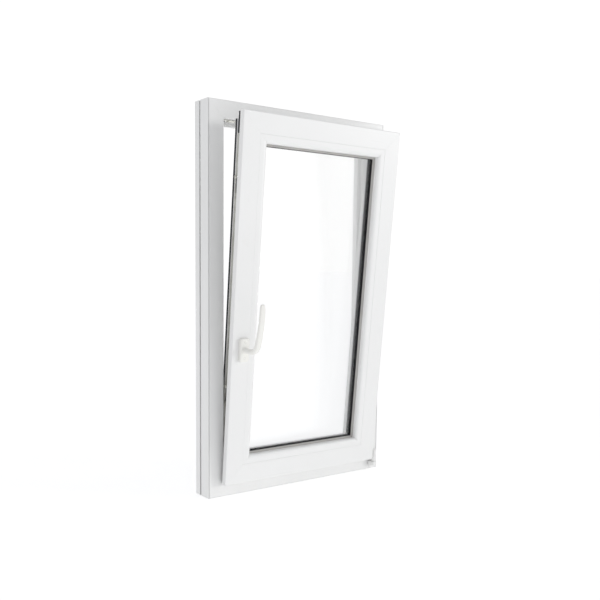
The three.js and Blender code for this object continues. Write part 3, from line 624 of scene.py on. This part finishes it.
def rose_ring(level, half_w, half_h, radius):
    """The rose's outline at a level through the wall."""
    corners = [(-half_w, -half_h, radius), (half_w, -half_h, radius),
               (half_w, half_h, radius), (-half_w, half_h, radius)]
    return [HANDLE_AT + Vector((p.x, level, p.y)) for p in fillet(corners, 8)]


ROSE_HALF_W, ROSE_HALF_H, ROSE_CORNER = 13.8, 31.5, 5.8
rose = [rose_ring(ROSE_BACK, ROSE_HALF_W - 0.4, ROSE_HALF_H - 0.4, ROSE_CORNER - 0.4),
        rose_ring(ROSE_BACK - 0.5, ROSE_HALF_W, ROSE_HALF_H, ROSE_CORNER)]
for k in range(7):
    angle = math.pi / 2 * k / 6
    drawn_in = 2.8 * (1 - math.cos(angle))
    rose.append(rose_ring(ROSE_FRONT + 3.2 * (1 - math.sin(angle)), ROSE_HALF_W - drawn_in,
                          ROSE_HALF_H - drawn_in, ROSE_CORNER))
rose.append(rose_ring(ROSE_FRONT - 0.35, 9.0, 26.0, 5.0))
build("skin_handle_rose", rose, IVORY, "sash", place=TILTED,
      stands_for=("handle_rose",), sharp=40)
turned("skin_rose_collar", [(9.9, 0), (9.9, 1.0), (9.4, 1.5), (8.6, 1.75), (7.9, 1.75)],
       HANDLE_AT + Vector((0, ROSE_FRONT + 0.2, 0)), (0, -1, 0), IVORY, "sash",
       TILTED)
for label, dz in (("upper", 21.5), ("lower", -21.5)):
    screw(f"skin_rose_screw_{label}", HANDLE_AT + Vector((0, ROSE_FRONT - 0.3, dz)), (0, -1, 0),
          3.9, PLATED_PALE, "sash", TILTED, (f"rose_screw_{label}",))

# The lever's centre line in the plane square to the sash: (y, height above the axis, half
# thickness, half width).
LEVER = [
    (ROSE_FRONT - 1.2, 0.0, 7.7, 7.7), (-77.0, 0.0, 7.5, 7.5), (-89.0, 0.0, 7.3, 7.4),
    (-101.0, 1.2, 7.3, 7.4), (-112.0, 3.8, 7.2, 7.5), (-121.0, 9.4, 6.9, 7.7),
    (-127.5, 18.5, 6.3, 7.9), (-132.0, 33.0, 5.6, 8.0), (-135.8, 52.0, 5.0, 8.0),
    (-138.8, 72.0, 4.7, 7.9), (-140.6, 92.0, 4.5, 7.8), (-141.5, 108.0, 4.3, 7.6),
    (-141.4, 119.0, 4.1, 7.3), (-140.9, 125.5, 3.6, 6.5), (-140.4, 129.2, 2.7, 4.9),
    (-140.1, 130.8, 1.4, 2.6),
]


def spline(points, steps):
    """A smooth run of points through the given ones."""
    result = []
    count = len(points)
    for i in range(count - 1):
        p0, p1 = points[max(i - 1, 0)], points[i]
        p2, p3 = points[i + 1], points[min(i + 2, count - 1)]
        for k in range(steps):
            t = k / steps
            result.append(tuple(
                0.5 * (2 * b + (c - a) * t + (2 * a - 5 * b + 4 * c - d) * t * t
                       + (3 * b - a - 3 * c + d) * t ** 3)
                for a, b, c, d in zip(p0, p1, p2, p3)
            ))
    result.append(points[-1])
    return result


# The lever's section is round at the rose and turns to a rounded box as it rises.
SECTION_POINTS = 32
BOX_FROM, BOX_OVER, BOX_SHARPNESS = 2.0, 24.0, 2.4
line = spline(LEVER, 4)
lever_rings = []
for i, (y, z, thick, wide) in enumerate(line):
    ahead, behind = line[min(i + 1, len(line) - 1)], line[max(i - 1, 0)]
    tangent = Vector((0, ahead[0] - behind[0], ahead[1] - behind[1])).normalized()
    across = Vector((1, 0, 0))
    normal = tangent.cross(across)
    boxy = min(1.0, max(0.0, (z - BOX_FROM) / BOX_OVER))
    power = 2.0 / (2.0 + BOX_SHARPNESS * boxy)
    ring = []
    for k in range(SECTION_POINTS):
        angle = 2 * math.pi * k / SECTION_POINTS
        c, s = math.cos(angle), math.sin(angle)
        px = math.copysign(abs(c) ** power, c) * wide
        pn = math.copysign(abs(s) ** power, s) * thick
        ring.append(HANDLE_AT + Vector((0, y, z)) + across * px + normal * pn)
    lever_rings.append(ring)
build("skin_handle_lever", lever_rings, IVORY, "handle", place=TILTED,
      stands_for=("handle_lever",), sharp=50)

# ---------------------------------------------------------------- keeps
KEEP_FROM, KEEP_TO, KEEP_HALF, KEEP_PLATE = GROOVE_MID - 14, GROOVE_MID + 8, 26, 2.0
REBATE = FRAME_FACE + 0.1


def keep(node, axes, face, centre, holes, material):
    """A keep lying on a rebate: axes[1] runs along the rebate and axes[2] out of it."""
    low, high = centre - KEEP_HALF, centre + KEEP_HALF
    plate_outline = fillet([(KEEP_FROM, low, 3.5), (KEEP_TO, low, 3.5),
                            (KEEP_TO, high, 3.5), (KEEP_FROM, high, 3.5)], 5)
    slab(f"skin_{node}", plate_outline, axes, face, face + KEEP_PLATE, 0.5, material,
         "frame", stands_for=(node,))
    ramp_outline = fillet([(KEEP_FROM, centre - 9, 1.5), (KEEP_FROM + 7.5, centre - 9, 1.5),
                           (KEEP_FROM + 7.5, centre + 9, 1.5), (KEEP_FROM, centre + 9, 1.5)], 4)
    slab(f"{node}_hook", ramp_outline, axes, face + 1.0, face + 4.6, 0.8, material,
         "frame")
    ea, eb, ec = (Vector(v) for v in axes)
    for label, spot in zip(("a", "b"), holes):
        screw(f"{node}_screw_{label}", ea * GROOVE_MID + eb * spot + ec * (face + KEEP_PLATE),
              ec, 3.4, DARK, "frame")


LEFT_WALL = ((0, 1, 0), (0, 0, 1), (1, 0, 0))
HEAD_WALL = ((0, 1, 0), (1, 0, 0), (0, 0, -1))
keep("keep_left_upper", LEFT_WALL, REBATE - WIDTH / 2, 814, (794, 834), PLATED)
keep("keep_left_lower", LEFT_WALL, REBATE - WIDTH / 2, 264, (244, 284), PLATED)
keep("keep_head", HEAD_WALL, REBATE - HEIGHT, -224, (-238, -204), PLATED_X)

# ---------------------------------------------------------------- hinges
PAD_BACK, PAD_FRONT = -FRONT + 0.05, -FRONT + 3.3


def hinge_pad(name, x0, x1, z0, z1, stands_for):
    """A plate on the frame's room face."""
    outline = fillet([(x0, z0, 3), (x1, z0, 3), (x1, z1, 3), (x0, z1, 3)], 5)
    return slab(name, outline, ((1, 0, 0), (0, 0, 1), (0, -1, 0)), PAD_BACK, PAD_FRONT, 1.0,
                HINGE_WHITE, "frame", stands_for=stands_for)


def lug(name, z0, z1):
    """The eye round the pin with the neck that ties it to the plate."""
    points = []
    for k in range(25):
        angle = math.pi * (1.0 + k / 24.0)
        points.append((TURN_X + 6.5 * math.cos(angle), PIVOT_Y + 6.5 * math.sin(angle)))
    points += [(TURN_X + 13.5, -43.0), (TURN_X + 13.5, -37.0), (TURN_X - 3.5, -37.0),
               (TURN_X - 6.5, -45.0)]
    outline = [Vector(p) for p in points]
    return slab(name, outline, ((1, 0, 0), (0, 1, 0), (0, 0, 1)), z0, z1, 0.8, HINGE_WHITE,
                "frame")


hinge_pad("skin_lower_hinge_plate", TURN_X - 6, TURN_X + 18, 5, 29, ("lower_hinge_bracket",))
cover = fillet([(TURN_X - 12, -37.5), (TURN_X - 6.5, PIVOT_Y - 6.5, 5),
                (TURN_X + 7.5, PIVOT_Y - 6.5, 6), (TURN_X + 16, -40.0, 2),
                (TURN_X + 16, -37.5)], 6)
slab("lower_hinge_cover", cover, ((1, 0, 0), (0, 1, 0), (0, 0, 1)), 12.5, 25.8, 1.2, HINGE_WHITE,
     "frame")
turned("lower_hinge_pin", [(3.5, 0), (3.5, 35), (2.9, 36)], (TURN_X, PIVOT_Y, 18), (0, 0, 1),
       HINGE_WHITE, "frame")
hinge_pad("skin_upper_hinge_plate", TURN_X + 8, TURN_X + 19, 964, 1030, ("upper_hinge_bracket",))
lug("upper_hinge_lug_low", 968, 980)
lug("upper_hinge_lug_high", 1006, 1018)
turned("skin_upper_hinge_pin",
       [(2.9, 0), (3.5, 1), (3.5, 54.4), (5.2, 54.4), (5.2, 56), (4.6, 57)],
       (TURN_X, PIVOT_Y, 964), (0, 0, 1), DARK, "frame",
       stands_for=("upper_hinge_pin",))
turned("skin_lower_knuckle", [(5.9, 0), (6.5, 0.7), (6.5, 36.4), (6.0, 37.3), (5.0, 37.6)],
       (TURN_X, PIVOT_Y, 26.4), (0, 0, 1), HINGE_WHITE, "turn_carrier",
       stands_for=("lower_hinge_knuckle",))
turned("lower_trunnion", [(3.2, 0), (3.4, 0.3), (3.4, 18)], (TURN_X - 23, PIVOT_Y, PIVOT_Z),
       (1, 0, 0), HINGE_WHITE, "turn_carrier")
for label, z in (("low", 990), ("high", 1022)):
    screw(f"upper_hinge_screw_{label}", (TURN_X + 14.5, -PAD_FRONT, z), (0, -1, 0), 3.0, PLATED,
          "frame")

# ---------------------------------------------------------------- CAD nodes that stay
KEPT = {
    ZINC: [n for n in frame["nodes"] if "steel" in n] + ["gearbox", "drive_rod_left",
                                                        "drive_rod_top", "handle_spindle"],
    PLATED: ["cover_strip_left", "tilt_bearing_bush", "cam_left_upper", "cam_left_lower"],
    PLATED_X: ["cover_strip_top", "stay_arm"],
    DARK: ["stay_slider", "corner_drive", "cam_top"],
    GREY: ["run_up_block", "setting_block_left", "setting_block_right"],
}
for material, names in KEPT.items():
    for node in names:
        obj = frame["nodes"][node]
        obj.data.materials.clear()
        obj.data.materials.append(material)
        soften = obj.modifiers.new("soft_edges", "BEVEL")
        soften.width = 0.35 * MM
        soften.segments = 2
        soften.limit_method = "ANGLE"
        soften.angle_limit = math.radians(40)

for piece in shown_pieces():
    if "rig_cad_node" not in piece:
        piece.modifiers.new("true_flats", "WEIGHTED_NORMAL").keep_sharp = True

# ---------------------------------------------------------------- floor, light and camera
FLOOR_HALF = 80
floor_mesh = bpy.data.meshes.new("floor")
floor_mesh.from_pydata([(-FLOOR_HALF, -FLOOR_HALF, 0), (FLOOR_HALF, -FLOOR_HALF, 0),
                        (FLOOR_HALF, FLOOR_HALF, 0), (-FLOOR_HALF, FLOOR_HALF, 0)],
                       [], [(0, 1, 2, 3)])
floor = bpy.data.objects.new("floor", floor_mesh)
bpy.context.scene.collection.objects.link(floor)
floor_nodes = Nodes("floor_white")
floor_cloud = floor_nodes.noise(0.8, 2.0)
floor_nodes.link(floor_nodes.mix(floor_nodes.span(floor_cloud, 0.0, 1.0), (0.93, 0.93, 0.93),
                                 (0.915, 0.915, 0.915)), floor_nodes.shader.inputs["Base Color"])
floor_nodes.set(Roughness=0.8, Specular_IOR_Level=0.1, Emission_Color=(1.0, 1.0, 1.0, 1.0),
                Emission_Strength=0.42)
floor.data.materials.append(floor_nodes.material)

# The world gives soft light all round and looks plain white to the camera and through glass.
world = bpy.data.worlds.new("studio")
bpy.context.scene.world = world
world.use_nodes = True
tree = world.node_tree
background = tree.nodes["Background"]
background.inputs["Color"].default_value = (0.975, 0.98, 1.0, 1.0)
background.inputs["Strength"].default_value = 0.64
seen = tree.nodes.new("ShaderNodeBackground")
seen.inputs["Color"].default_value = (1.0, 1.0, 1.0, 1.0)
seen.inputs["Strength"].default_value = 1.05
path = tree.nodes.new("ShaderNodeLightPath")
either = tree.nodes.new("ShaderNodeMath")
either.operation = "MAXIMUM"
tree.links.new(path.outputs["Is Camera Ray"], either.inputs[0])
tree.links.new(path.outputs["Is Transmission Ray"], either.inputs[1])
choose = tree.nodes.new("ShaderNodeMixShader")
tree.links.new(either.outputs[0], choose.inputs[0])
tree.links.new(background.outputs[0], choose.inputs[1])
tree.links.new(seen.outputs[0], choose.inputs[2])
tree.links.new(choose.outputs[0], tree.nodes["World Output"].inputs[0])


def soft_sun(name, towards, strength, angle, colour):
    """Light from far away, from the given direction, as soft as its angle is wide."""
    light = bpy.data.lights.new(name, "SUN")
    light.energy = strength
    light.angle = math.radians(angle)
    light.color = colour
    obj = bpy.data.objects.new(name, light)
    obj.rotation_mode = "QUATERNION"
    obj.rotation_quaternion = Vector(towards).to_track_quat("Z", "Y")
    bpy.context.scene.collection.objects.link(obj)


soft_sun("key", (0.74, -0.66, 0.15), 0.66, 14, (1.0, 0.99, 0.975))

camera_data = bpy.data.cameras.new("camera")
camera_data.lens = 45.611
camera_data.sensor_width = 36.0
camera_data.shift_y = 0.0817
camera = bpy.data.objects.new("camera", camera_data)
camera.location = (-1.2791, -1.7812, 0.6227)
camera.rotation_euler = [math.radians(a) for a in (83.863, -0.646, -36.127)]
bpy.context.scene.collection.objects.link(camera)
bpy.context.scene.camera = camera
bpy.context.scene.view_settings.view_transform = "Standard"
